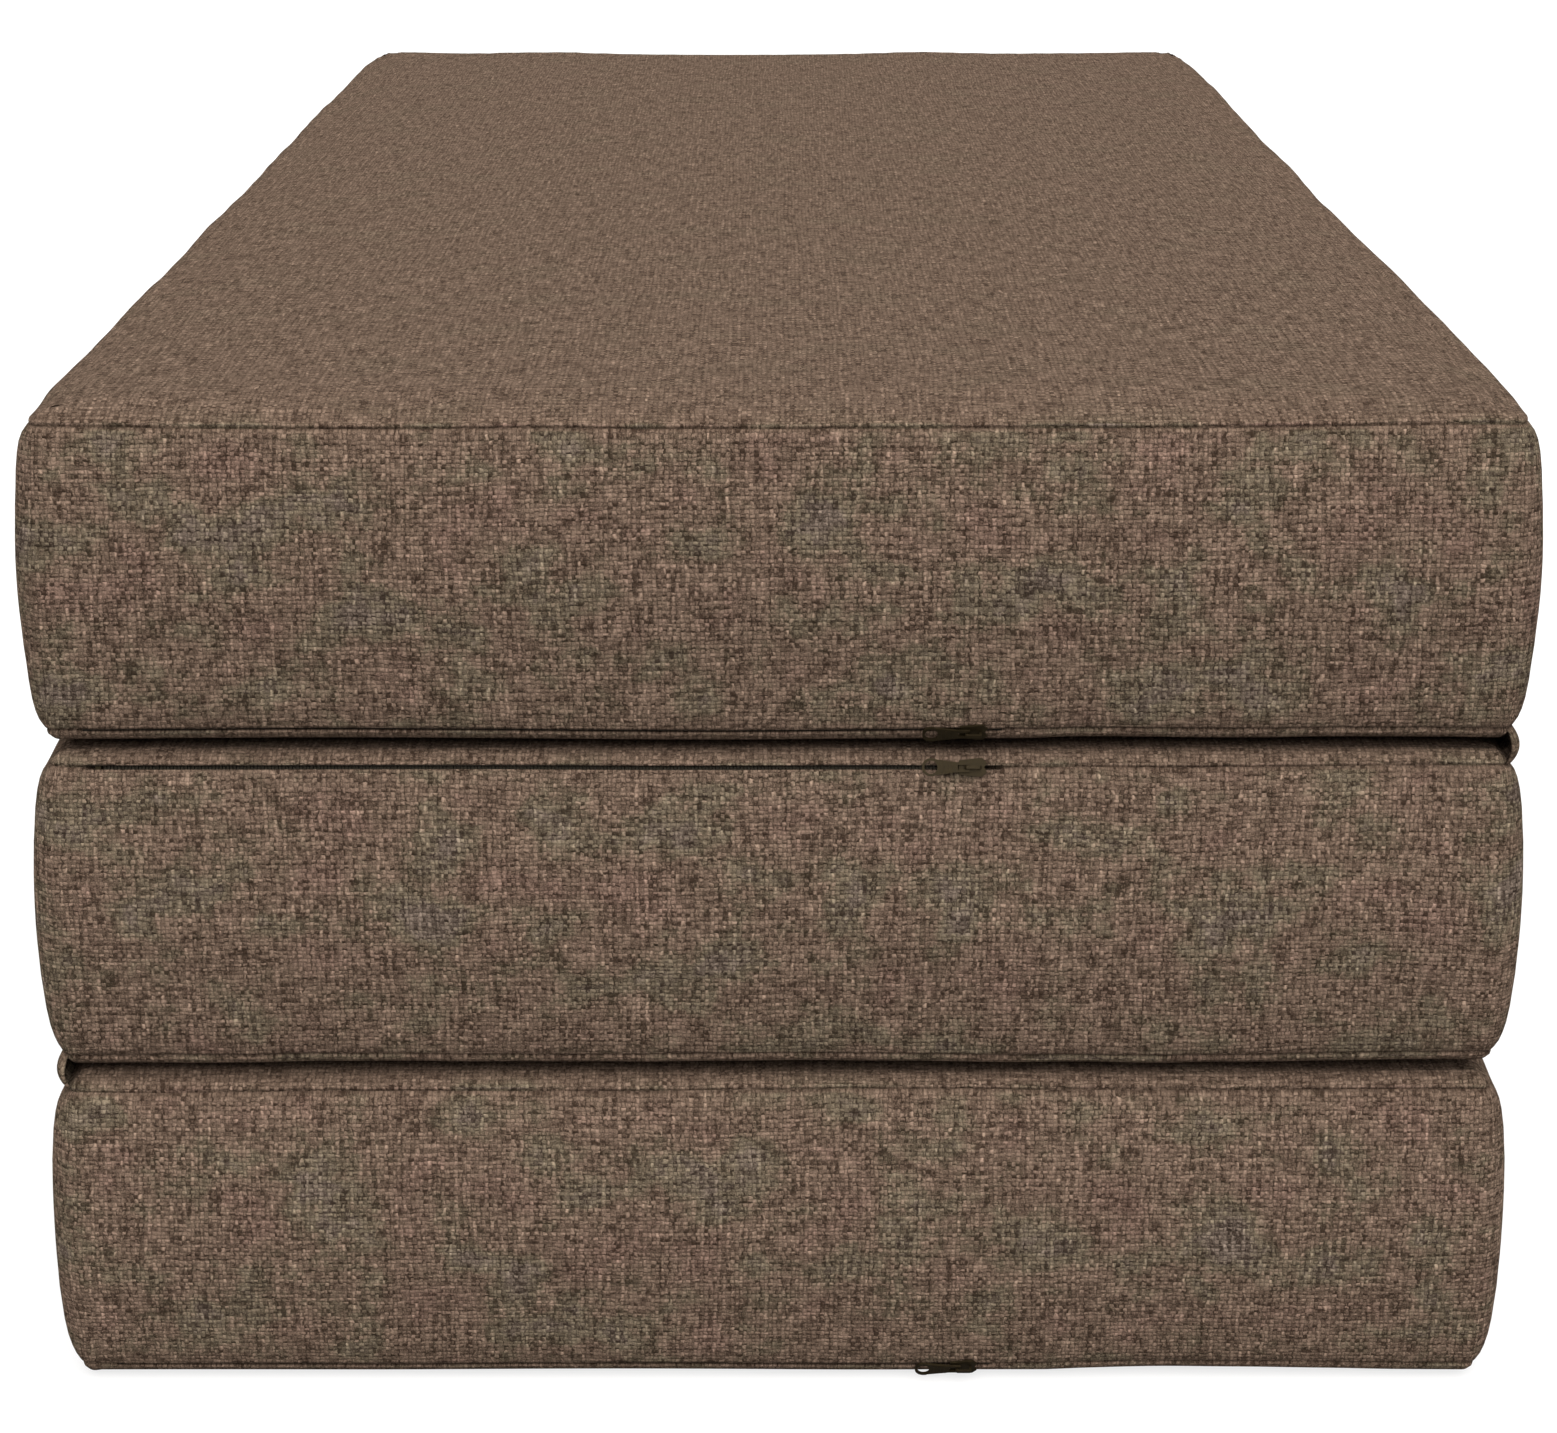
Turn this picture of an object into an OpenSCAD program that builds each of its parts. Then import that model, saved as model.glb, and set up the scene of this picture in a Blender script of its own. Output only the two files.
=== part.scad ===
// Folding sofa bed: three foam blocks in zipped woven covers, stacked in a Z fold.
// A fabric hinge joins the lower two blocks on the left and the upper two on the right.
// The origin is on the floor under the middle of the stack. +X runs across the fold to the
// right, +Y from the zips to the back and +Z up.

/* [Foam blocks] */
// Width of one block, from fold to fold
block_w = 650; // [450:5:800]
// Depth of one block, which is the width of the opened bed
block_d = 1200; // [700:10:1600]
// Thickness of one block
block_t = 150; // [110:1:200]
// Rounding of the upright corners, seen from above
corner_r = 17; // [14:1:30]
// Air between two stacked blocks
block_gap = 0.6; // [0.4:0.1:2]

/* [Covers] */
// Thickness of the cover's cloth
cover_t = 1.5; // [1:0.1:2]
// Height of the seams below a block's upper face, and above its lower one
seam_drop = 8; // [7.5:0.1:10]
// How far the side walls swell past the seams
side_bulge = 7; // [4:0.5:9]
// Rise of a free face from its edges to its middle
crown_h = 3.2; // [2.6:0.1:3.6]
// How much of that rise is pressed flat where blocks or the floor bear on it
press_h = 1.2; // [0.8:0.1:1.6]
// How far the long sides and the back are drawn in between the corners
side_draw = 1.5; // [0:0.1:3]
// Width of a sewn seam's crease
seam_gap = 0.3; // [0.2:0.05:0.5]
// Clearance between the foam and its cover
core_gap = 0.3; // [0.2:0.05:0.6]

/* [Fabric hinges] */
// Thickness of the hinge cloth
strip_t = 1.2; // [0.8:0.1:1.6]
// Clearance between the hinge cloth and the seams
strip_gap = 0.3; // [0.2:0.05:0.5]

/* [Zip chains] */
// Distance from a block's left side to the start of its zip
zip_start = 27; // [25:1:60]
// Length of a zip from end to end
zip_l = 394; // [200:1:400]
// Width of the slit that shows the zip
slit_w = 2; // [1.9:0.1:2.4]
// Length over which the slit narrows to the seam at each end
slit_taper = 5; // [3:0.5:10]
// Thickness of the zip's tapes
tape_t = 0.5; // [0.4:0.05:0.6]
// Distance between the two tapes
tape_apart = 1.6; // [1.5:0.05:1.8]
// Width of the tape sewn to the side band
tape_w = 10; // [7:0.5:12]
// Distance from one tooth to the next in a row
tooth_pitch = 3; // [2.8:0.1:5]
// Thickness of the teeth
tooth_t = 2; // [1.5:0.1:2.2]
// Width of the closed chain
chain_w = 3.8; // [3.4:0.1:4]
// Length of an end stop
stop_l = 2.5; // [1.5:0.1:4]

/* [Zip sliders] */
// Length of a slider
slider_l = 12; // [10:0.5:14]
// Width of a slider at its shoulders
slider_w = 8; // [7:0.1:8.4]
// Thickness of a slider's plates
plate_t = 1; // [0.7:0.05:1.1]
// Length of the wedge that joins the plates
wedge_l = 5; // [4:0.1:6]
// Width of that wedge
wedge_w = 1.2; // [0.9:0.05:1.3]
// Running clearance between the parts of a zip
zip_gap = 0.3; // [0.2:0.05:0.4]
// Length of the bridge that holds the pull
bridge_l = 7; // [6:0.1:8]
// Width of the bridge
bridge_w = 1.4; // [1:0.1:1.8]
// Height of the bridge over the upper plate
bridge_h = 2.6; // [2.4:0.1:3.2]
// Thickness of the bridge's roof and legs
bridge_t = 0.9; // [0.6:0.05:1]

/* [Zip pulls] */
// Length of a pull from its pivot to its free end
pull_l = 20; // [16:0.5:28]
// Width of a pull at its free end
pull_w = 7.8; // [7:0.1:9]
// Thickness of a pull
pull_t = 1; // [0.8:0.05:1.1]
// Width of the frame round the eye and of the arms beside the bridge
pull_rim = 1.1; // [0.8:0.05:1.4]
// Diameter of the bar that turns inside the bridge
bar_d = 0.8; // [0.6:0.05:0.9]
// Length of the slot that the bridge passes through
pull_slot = 4.6; // [4.5:0.1:6]
// Number of grip ribs on a pull
pull_ribs = 4; // [2:1:6]
// Height of a grip rib
rib_h = 0.25; // [0.1:0.05:0.4]

/* [Hidden] */

// One small length by which fused solids run into each other and cuts run through
overrun = 0.2;

// The swell of a side wall grows with this power of the height, and the crown alike
swell_power = 4;
crown_power = 4;

half_w = block_w / 2;
half_d = block_d / 2;
half_t = block_t / 2;
block_step = block_t + block_gap;
seam_z = half_t - seam_drop;

// The panel's edge is an arc that leaves the seam along the wall's own slope and ends level
lean = atan(swell_power * side_bulge / seam_z);
edge_rise = seam_drop + press_h - crown_h;
edge_r = edge_rise / (1 - sin(lean));
edge_inset = side_bulge + edge_r * cos(lean);
edge_z = seam_z - edge_r * sin(lean);

// Heights of the side wall's rings as shares of the seam's height
wall_shares = [-1, -0.75, 0, 0.75, 1];
arc_steps = 3;
core_arc_steps = 2;
corner_steps = 3;
// Rings of the crown as shares of the way out from the middle of a face
crown_shares = [0.93, 0.7];
// Places along the long sides and the back as shares of their straight length
side_shares = [-0.5, 0, 0.5];
back_shares = [-0.33, 0.33];

// The zip runs along the front of the block, behind the seam
zip_x0 = zip_start - half_w;
zip_x1 = zip_x0 + zip_l;
seam_straight = half_w - side_bulge - corner_r;
// Places along the front: where, how far the slit is open, and whether the foam is pressed in
front_spots = [
    [zip_x0, 0, 1], [zip_x0 + slit_taper, 1, 1], [(zip_x0 + zip_x1) / 2, 1, 1],
    [zip_x1 - slit_taper, 1, 1], [zip_x1, 0, 1], [(zip_x1 + seam_straight) / 2, 0, 0]
];

// The zip's layers, as depths below the cover's outside
tape_y = cover_t + zip_gap;
tooth_room = 0.6;
tooth_y = tape_y + tape_t + tooth_room;
lower_plate_y = tooth_y + tooth_t + zip_gap;
zip_depth = lower_plate_y + plate_t + zip_gap;

// The foam gives way along the zip, most at the seam
core_off = cover_t + core_gap;
relief_span = seam_z * (wall_shares[4] - wall_shares[3]);
relief_off = core_off + (zip_depth - core_off) * relief_span / (relief_span - slider_w / 2);

// The slider stands closed, behind the last tooth
stop_x = zip_x0 + slit_taper;
teeth_x0 = stop_x + stop_l + zip_gap;
teeth_room = zip_x1 - slit_taper - stop_l - wedge_l - 2 * zip_gap - teeth_x0;
tooth_count = floor(teeth_room / tooth_pitch - 1 / 2);
slider_x = teeth_x0 + (tooth_count + 1 / 2) * tooth_pitch + zip_gap + wedge_l / 2;
tape_end_share = 0.5;
tooth_root_share = 0.27;
tooth_tip_share = 0.42;
tooth_reach = 0.5;
tooth_base = 1;

// Plan of a slider: its tail and nose as shares of its width, and its shoulders of its length
tail_share = 0.75;
nose_share = 0.25;
shoulder_shares = [1 / 6, 1 / 3];
chain_room = 0.6;
// Rounding of the bridge's shoulders as a share of its height
bridge_round_share = 1 / 3;
curve_steps = 32;

// The pull turns on a bar inside the bridge
bar_x = -(bridge_l / 2 - bridge_t - zip_gap - bar_d / 2);
bar_y = -(zip_gap + plate_t + zip_gap + pull_t / 2);
eye_w = bridge_w + 2 * zip_gap;
neck_w = eye_w + 2 * pull_rim;

cover_colour = "#6a5a4c";
seam_colour = "#5a4c40";
foam_colour = "#e8dfc4";
tape_colour = "#3a3128";
metal_colour = "#4b4432";

// A spot on a block's outline: shares of the straight half lengths, the direction of the
// rounding, the directions that are drawn in, how far the zip's slit is open there, and
// whether the foam is pressed in behind it
function corner_spots(sx, sy, a0) = [
    for (k = [0 : corner_steps])
        let (a = a0 + 90 * k / corner_steps) [sx, sy, cos(a), sin(a), 0, 0, 0, 0]
];
function side_spots(side) = [
    for (s = side_shares) [side, side * s, side, 0, side * (1 - s * s), 0, 0, 0]
];
spots = concat(
    corner_spots(-1, -1, 180),
    [for (f = front_spots) [f[0] / seam_straight, -1, 0, -1, 0, 0, f[1], f[2]]],
    corner_spots(1, -1, 270),
    side_spots(1),
    corner_spots(1, 1, 0),
    [for (s = back_shares) [-s, 1, 0, 1, 0, 1 - s * s, 0, 0]],
    corner_spots(-1, 1, 90),
    side_spots(-1)
);
spot_count = len(spots);

// Plan position of a spot on the ring that lies inset from the widest outline
function plan(spot, inset, r, draw) = [
    spot[0] * (half_w - inset - r) + spot[2] * r - spot[4] * draw,
    spot[1] * (half_d - inset - r) + spot[3] * r - spot[5] * draw
];

function seam_half(spot, zipped) = (seam_gap + (zipped ? spot[6] * (slit_w - seam_gap) : 0)) / 2;

// Foam and cover share one form: off is the depth below the cover's outside
function wall_point(spot, share, off, half_crease) =
    let (
        side = sign(share),
        z = seam_z * share - (abs(share) == 1 ? side * half_crease * cos(lean) : 0),
        up = abs(z) / seam_z,
        slope = atan(swell_power * side_bulge * pow(up, swell_power - 1) / seam_z),
        p = plan(spot, side_bulge * pow(up, swell_power) + off * cos(slope),
            corner_r - off, side_draw * up)
    )
    [p[0], p[1], z - side * off * sin(slope)];

function arc_point(spot, turn, off) =
    let (
        r = max(edge_r - off, 0),
        p = plan(spot, edge_inset - r * cos(turn), corner_r - off, side_draw)
    )
    [p[0], p[1], edge_z + r * sin(turn)];

function crown_drop(p) =
    crown_h * (1 - (1 - pow(abs(p[0]) / (half_w - edge_inset), crown_power))
        * (1 - pow(abs(p[1]) / (half_d - edge_inset), crown_power)));

function crown_point(spot, share, off, top) =
    let (p = share * plan(spot, edge_inset, corner_r - off, side_draw))
    [p[0], p[1], min(half_t + press_h - crown_drop(p), top) - off];

function arc_turn(k, steps) = lean + (90 - lean) * k / steps;
function crease_turn(half_crease) = lean + half_crease / edge_r * 180 / PI;

// Rings of a panel from the crown down to the seam
function panel_rings(off, zipped, top) = concat(
    [for (i = [len(crown_shares) - 1 : -1 : 0])
        [for (s = spots) crown_point(s, crown_shares[i], off, top)]],
    [for (k = [arc_steps : -1 : 1]) [for (s = spots) arc_point(s, arc_turn(k, arc_steps), off)]],
    [[for (s = spots) arc_point(s, crease_turn(seam_half(s, zipped)), off)]]
);

// Rings of the foam's upper half, without the wall
function core_rings(relief, top) = concat(
    [for (i = [len(crown_shares) - 1 : -1 : 0])
        [for (s = spots) crown_point(s, crown_shares[i], core_off, top)]],
    [for (k = [core_arc_steps : -1 : 0]) [for (s = spots)
        arc_point(s, arc_turn(k, core_arc_steps),
            k < core_arc_steps && relief && s[7] > 0 ? relief_off : core_off)]]
);

function flipped(ring) = [for (p = ring) [p[0], p[1], -p[2]]];
function reversed(list) = [for (i = [len(list) - 1 : -1 : 0]) list[i]];
function flat_list(lists) = [for (l = lists) each l];

// Triangles between ring a and the ring b that follows it. Skins and foam split their patches
// along the same diagonal, whether the rings run down the outside or up the inside
function belt(a, b, n, up = false) = [
    for (j = [0 : n - 1]) let (m = (j + 1) % n)
        each up ? [[a + j, a + m, b + m], [a + j, b + m, b + j]]
            : [[a + j, a + m, b + j], [a + m, b + m, b + j]]
];
function fan(pole, a, n) = [for (j = [0 : n - 1]) [pole, a + (j + 1) % n, a + j]];
function fan_under(pole, a, n) = [for (j = [0 : n - 1]) [pole, a + j, a + (j + 1) % n]];

// Closed skin through rings from one pole to another; after the first ones they run upwards
module skin(top_pole, rings, low_pole, down_count) {
    n = len(rings[0]);
    count = len(rings);
    polyhedron(
        points = concat([top_pole], flat_list(rings), [low_pole]),
        faces = concat(
            fan(0, 1, n),
            [for (i = [0 : count - 2]) each belt(1 + i * n, 1 + (i + 1) * n, n, i >= down_count)],
            fan_under(1 + count * n, 1 + (count - 1) * n, n)
        )
    );
}

// Closed skin through rings that come back to the first
module ring_skin(rings) {
    n = len(rings[0]);
    count = len(rings);
    polyhedron(
        points = flat_list(rings),
        faces = [for (i = [0 : count - 1])
            each belt(i * n, ((i + 1) % count) * n, n, i >= count / 2)]
    );
}

function face_top(free) = free ? half_t + press_h : half_t;

// A cover panel with its rounded edge, above the block's middle
module panel(zipped, free) {
    top = face_top(free);
    outside = panel_rings(0, zipped, top);
    skin(
        [0, 0, top],
        concat(outside, reversed(panel_rings(cover_t, zipped, top))),
        [0, 0, top - cover_t],
        len(outside)
    );
}

// The band round the sides; its zip is on the lower seam
module side_band() {
    function band_ring(share, off) = [
        for (s = spots) wall_point(s, share, off, seam_half(s, share < 0))
    ];
    shares = reversed(wall_shares);
    ring_skin(concat(
        [for (share = shares) band_ring(share, 0)],
        [for (share = wall_shares) band_ring(share, cover_t)]
    ));
}

// The foam block, pressed in along the zip on its lower seam
module foam_core(free) {
    top = face_top(free);
    rings = concat(
        core_rings(false, top),
        [for (i = [len(wall_shares) - 2 : -1 : 1])
            [for (s = spots) wall_point(s, wall_shares[i], core_off, 0)]],
        [for (ring = reversed(core_rings(true, half_t))) flipped(ring)]
    );
    skin([0, 0, top - core_off], rings, [0, 0, core_off - half_t], len(rings));
}

// Points of the wall's section at the zip, from the seam down to the face or up to the band
function section_arc(k, off) =
    let (r = edge_r - off)
    [edge_inset - r * cos(arc_turn(k, arc_steps)) - half_d, -edge_z - r * sin(arc_turn(k, arc_steps))];
function section_wall(share, off) =
    let (slope = atan(swell_power * side_bulge * pow(share, swell_power - 1) / seam_z))
    [side_bulge * pow(share, swell_power) + off * cos(slope) - half_d,
        -(seam_z * share - off * sin(slope))];
function between(a, b, length) = a + (b - a) * length / norm(b - a);
function panel_end(off) =
    section_arc(2, off) + (section_arc(3, off) - section_arc(2, off)) * tape_end_share;

// One tape is sewn behind the lower panel's edge and the other behind the band
module zip_tapes() {
    near = tape_apart / 2;
    outer = tape_y;
    inner = tape_y + tape_t;
    panel_side = [
        between(section_arc(0, outer), section_arc(1, outer), near),
        section_arc(1, outer), section_arc(2, outer), panel_end(outer),
        panel_end(inner), section_arc(2, inner), section_arc(1, inner),
        between(section_arc(0, inner), section_arc(1, inner), near)
    ];
    band_side = [
        between(section_wall(1, outer), section_wall(wall_shares[3], outer), near),
        between(section_wall(1, outer), section_wall(wall_shares[3], outer), tape_w),
        between(section_wall(1, inner), section_wall(wall_shares[3], inner), tape_w),
        between(section_wall(1, inner), section_wall(wall_shares[3], inner), near)
    ];
    for (outline = [panel_side, band_side])
        translate([zip_x0, 0, 0])
            rotate([90, 0, 90])
                linear_extrude(zip_l) polygon(outline);
}

// The zip's own frame: X along the zip, +Y into the block and +Z up the band
module at_zip(x) {
    translate([x, side_bulge - half_d, -seam_z]) rotate([lean, 0, 0]) children();
}

// Extrudes an outline drawn along the zip, from depth y0 to y1
module layer(y0, y1) {
    translate([0, y1, 0]) rotate([90, 0, 0]) linear_extrude(y1 - y0) children();
}

// A row of dovetail teeth on a straight base, pointing to -Z
module tooth_row(x, count) {
    root = tooth_pitch * tooth_root_share / 2;
    tip = tooth_pitch * tooth_tip_share / 2;
    base_z = chain_w / 2 - tooth_base;
    polygon(concat(
        [[x - tooth_pitch / 2, chain_w / 2], [x - tooth_pitch / 2, base_z]],
        [for (i = [0 : count - 1]) let (c = x + i * tooth_pitch)
            each [[c - root, base_z], [c - tip, -tooth_reach], [c + tip, -tooth_reach],
                [c + root, base_z]]],
        [[x + (count - 1 / 2) * tooth_pitch, base_z],
            [x + (count - 1 / 2) * tooth_pitch, chain_w / 2]]
    ));
}

// Two rows that lock into each other half a pitch apart
module zip_teeth() {
    at_zip(0) layer(tooth_y, tooth_y + tooth_t) {
        tooth_row(teeth_x0 + tooth_pitch / 2, tooth_count);
        mirror([0, 1, 0]) tooth_row(teeth_x0 + tooth_pitch, tooth_count);
    }
}

// One stop across both rows at the start, and one on each row beyond the wedge
module zip_stops() {
    at_zip(0) layer(tooth_y, tooth_y + tooth_t) {
        translate([stop_x, -chain_w / 2]) square([stop_l, chain_w]);
        for (side = [0, 1]) mirror([0, side, 0])
            translate([slider_x + wedge_l / 2 + zip_gap, wedge_w / 2 + zip_gap])
                square([stop_l, chain_w / 2 - wedge_w / 2 - zip_gap]);
    }
}

// Plan of a slider's plates: narrow at the closed end, with shoulders towards the open end
module slider_outline() {
    tail_z = slider_w * tail_share / 2;
    nose_z = slider_w * nose_share;
    low_x = slider_l * shoulder_shares[0];
    high_x = slider_l * shoulder_shares[1];
    polygon([
        [-slider_l / 2, -tail_z], [low_x, -slider_w / 2], [high_x, -slider_w / 2],
        [slider_l / 2, -nose_z], [slider_l / 2 - wedge_w, 0], [slider_l / 2, nose_z],
        [high_x, slider_w / 2], [low_x, slider_w / 2], [-slider_l / 2, tail_z]
    ]);
}

// Slider: two plates joined by a wedge through the slit, side walls below and a bridge above
module zip_slider() {
    flange_y = tooth_y + tooth_t / 2;
    outer_y = -zip_gap - plate_t;
    at_zip(slider_x) {
        layer(outer_y, -zip_gap) slider_outline();
        layer(lower_plate_y, lower_plate_y + plate_t) slider_outline();
        layer(-zip_gap - overrun, lower_plate_y + overrun)
            polygon([
                [-wedge_l / 2, 0], [0, -wedge_w / 2], [wedge_l / 2, -wedge_w / 2],
                [wedge_l / 2, wedge_w / 2], [0, wedge_w / 2]
            ]);
        layer(flange_y, lower_plate_y + overrun)
            difference() {
                slider_outline();
                square([slider_l + overrun, chain_w + 2 * chain_room], center = true);
            }
        translate([0, outer_y + overrun, -bridge_w / 2])
            rotate([180, 0, 0]) mirror([0, 0, 1]) linear_extrude(bridge_w)
                difference() {
                    bridge_outline(bridge_l, bridge_h + overrun);
                    translate([0, -overrun])
                        bridge_outline(bridge_l - 2 * bridge_t, bridge_h + 2 * overrun - bridge_t);
                }
    }
}

// Side view of the bridge, standing on y = 0, with rounded shoulders
module bridge_outline(length, height) {
    shoulder_r = height * bridge_round_share;
    translate([-length / 2, 0]) square([length, height - shoulder_r]);
    translate([shoulder_r - length / 2, 0]) square([length - 2 * shoulder_r, height]);
    for (side = [-1, 1])
        translate([side * (length / 2 - shoulder_r), height - shoulder_r])
            circle(r = shoulder_r, $fn = curve_steps);
}

// Plan of a pull, lying along -X from its pivot: two arms, a tapered plate and a ring end
module pull_outline() {
    ring_r = pull_w / 2;
    difference() {
        union() {
            polygon([
                [pull_t / 2, -neck_w / 2], [-pull_slot, -neck_w / 2],
                [ring_r - pull_l, overrun - ring_r], [ring_r - pull_l, ring_r - overrun],
                [-pull_slot, neck_w / 2], [pull_t / 2, neck_w / 2]
            ]);
            translate([ring_r - pull_l, 0]) circle(r = ring_r, $fn = curve_steps);
        }
        translate([ring_r - pull_l, 0]) circle(r = ring_r - pull_rim, $fn = curve_steps);
        translate([-pull_slot, -eye_w / 2]) square([pull_slot + pull_t, eye_w]);
    }
}

// Pull: its bar turns inside the bridge and its plate has ribs for the fingers
module zip_pull() {
    rib_from = pull_slot + pull_rim;
    rib_step = (pull_l - pull_w - rib_from) / pull_ribs;
    at_zip(slider_x) translate([bar_x, bar_y, 0]) {
        cylinder(h = neck_w - pull_rim, d = bar_d, center = true, $fn = curve_steps);
        layer(-pull_t / 2, pull_t / 2) pull_outline();
        for (i = [0 : pull_ribs - 1])
            layer(-pull_t / 2 - rib_h, overrun - pull_t / 2)
                translate([-rib_from - (i + 1 / 2) * rib_step, 0])
                    square([rib_step / 2, neck_w], center = true);
    }
}

// A strip of cloth between two seams, one above the other, along a drawn-in side
module hinge_cloth() {
    stretch = concat([-1], side_shares, [1]);
    run = half_d - side_bulge - corner_r;
    reach = seam_drop + block_gap / 2 - strip_gap;
    sections = [for (s = stretch)
        let (x = side_bulge + side_draw * (1 - s * s) - strip_gap - half_w)
            [[x - strip_t, s * run, -reach], [x, s * run, -reach],
                [x, s * run, reach], [x - strip_t, s * run, reach]]];
    last = 4 * (len(stretch) - 1);
    polyhedron(
        points = flat_list(sections),
        faces = concat(
            [[0, 3, 2], [0, 2, 1]],
            [for (i = [0 : len(stretch) - 2]) each belt(4 * i, 4 * (i + 1), 4)],
            [[last, last + 1, last + 2], [last, last + 2, last + 3]]
        )
    );
}

// A block's place in the stack; the middle one is turned over, so its zip is on top
module in_stack(level, turned) {
    translate([0, 0, half_t + level * block_step]) mirror([0, 0, turned ? 1 : 0]) children();
}

// The lower panel is the upper one turned over
module lower_panel(zipped) {
    mirror([0, 0, 1]) panel(zipped, false);
}

module bottom_foam_core() { color(foam_colour) in_stack(0, false) foam_core(false); }
module bottom_lower_panel() { color(cover_colour) in_stack(0, false) lower_panel(true); }
module bottom_upper_panel() { color(cover_colour) in_stack(0, false) panel(false, false); }
module bottom_side_band() { color(seam_colour) in_stack(0, false) side_band(); }
module bottom_zip_tapes() { color(tape_colour) in_stack(0, false) zip_tapes(); }
module bottom_zip_teeth() { color(tape_colour) in_stack(0, false) zip_teeth(); }
module bottom_zip_stops() { color(metal_colour) in_stack(0, false) zip_stops(); }
module bottom_zip_slider() { color(metal_colour) in_stack(0, false) zip_slider(); }
module bottom_zip_pull() { color(metal_colour) in_stack(0, false) zip_pull(); }

module middle_foam_core() { color(foam_colour) in_stack(1, true) foam_core(false); }
module middle_lower_panel() { color(cover_colour) in_stack(1, true) panel(false, false); }
module middle_upper_panel() { color(cover_colour) in_stack(1, true) lower_panel(true); }
module middle_side_band() { color(seam_colour) in_stack(1, true) side_band(); }
module middle_zip_tapes() { color(tape_colour) in_stack(1, true) zip_tapes(); }
module middle_zip_teeth() { color(tape_colour) in_stack(1, true) zip_teeth(); }
module middle_zip_stops() { color(metal_colour) in_stack(1, true) zip_stops(); }
module middle_zip_slider() { color(metal_colour) in_stack(1, true) zip_slider(); }
module middle_zip_pull() { color(metal_colour) in_stack(1, true) zip_pull(); }

module top_foam_core() { color(foam_colour) in_stack(2, false) foam_core(true); }
module top_lower_panel() { color(cover_colour) in_stack(2, false) lower_panel(true); }
module top_upper_panel() { color(cover_colour) in_stack(2, false) panel(false, true); }
module top_side_band() { color(seam_colour) in_stack(2, false) side_band(); }
module top_zip_tapes() { color(tape_colour) in_stack(2, false) zip_tapes(); }
module top_zip_teeth() { color(tape_colour) in_stack(2, false) zip_teeth(); }
module top_zip_stops() { color(metal_colour) in_stack(2, false) zip_stops(); }
module top_zip_slider() { color(metal_colour) in_stack(2, false) zip_slider(); }
module top_zip_pull() { color(metal_colour) in_stack(2, false) zip_pull(); }

module left_hinge_cloth() {
    color(seam_colour) translate([0, 0, block_step - block_gap / 2]) hinge_cloth();
}
module right_hinge_cloth() {
    color(seam_colour) translate([0, 0, 2 * block_step - block_gap / 2])
        mirror([1, 0, 0]) hinge_cloth();
}

bottom_foam_core();
bottom_lower_panel();
bottom_upper_panel();
bottom_side_band();
bottom_zip_tapes();
bottom_zip_teeth();
bottom_zip_stops();
bottom_zip_slider();
bottom_zip_pull();
middle_foam_core();
middle_lower_panel();
middle_upper_panel();
middle_side_band();
middle_zip_tapes();
middle_zip_teeth();
middle_zip_stops();
middle_zip_slider();
middle_zip_pull();
top_foam_core();
top_lower_panel();
top_upper_panel();
top_side_band();
top_zip_tapes();
top_zip_teeth();
top_zip_stops();
top_zip_slider();
top_zip_pull();
left_hinge_cloth();
right_hinge_cloth();
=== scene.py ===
import math

import bpy
import numpy as np
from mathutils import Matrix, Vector, kdtree, noise


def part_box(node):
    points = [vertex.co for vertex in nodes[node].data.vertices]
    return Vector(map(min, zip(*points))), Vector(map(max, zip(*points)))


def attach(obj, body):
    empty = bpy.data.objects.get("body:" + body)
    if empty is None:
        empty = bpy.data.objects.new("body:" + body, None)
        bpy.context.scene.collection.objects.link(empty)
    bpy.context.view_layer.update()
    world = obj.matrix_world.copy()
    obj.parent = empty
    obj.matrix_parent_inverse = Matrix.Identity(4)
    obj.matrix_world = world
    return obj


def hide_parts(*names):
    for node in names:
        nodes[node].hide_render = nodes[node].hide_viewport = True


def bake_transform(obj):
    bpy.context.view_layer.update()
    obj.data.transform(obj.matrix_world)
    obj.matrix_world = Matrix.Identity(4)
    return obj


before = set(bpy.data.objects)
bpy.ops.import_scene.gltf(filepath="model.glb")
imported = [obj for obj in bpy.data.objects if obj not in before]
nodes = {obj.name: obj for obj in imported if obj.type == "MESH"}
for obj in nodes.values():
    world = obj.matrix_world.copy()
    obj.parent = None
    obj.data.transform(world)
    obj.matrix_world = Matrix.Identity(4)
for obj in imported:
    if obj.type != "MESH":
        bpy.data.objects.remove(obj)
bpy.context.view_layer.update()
print("frame loaded")

# sizes that every block shares, read off the frame
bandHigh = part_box("bottom_side_band")[1]
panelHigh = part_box("bottom_upper_panel")[1]
tapeLow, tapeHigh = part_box("bottom_zip_tapes")
sliderAt = sum(corner.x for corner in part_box("bottom_zip_slider")) / 2
halfWidth, halfDepth = bandHigh.x, bandHigh.y
halfHeight = panelHigh.z / 2
sideSwell = round(bandHigh.x - panelHigh.x, 3)
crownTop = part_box("top_upper_panel")[1].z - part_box("top_lower_panel")[0].z - halfHeight

# heights of the blocks' middles, without the crown of the top one
blockLevels = {
    name: (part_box(name + "_lower_panel")[0].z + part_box(name + "_upper_panel")[1].z) / 2
    for name in ("bottom", "middle")
}
blockLevels["top"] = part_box("top_lower_panel")[0].z + halfHeight

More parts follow.
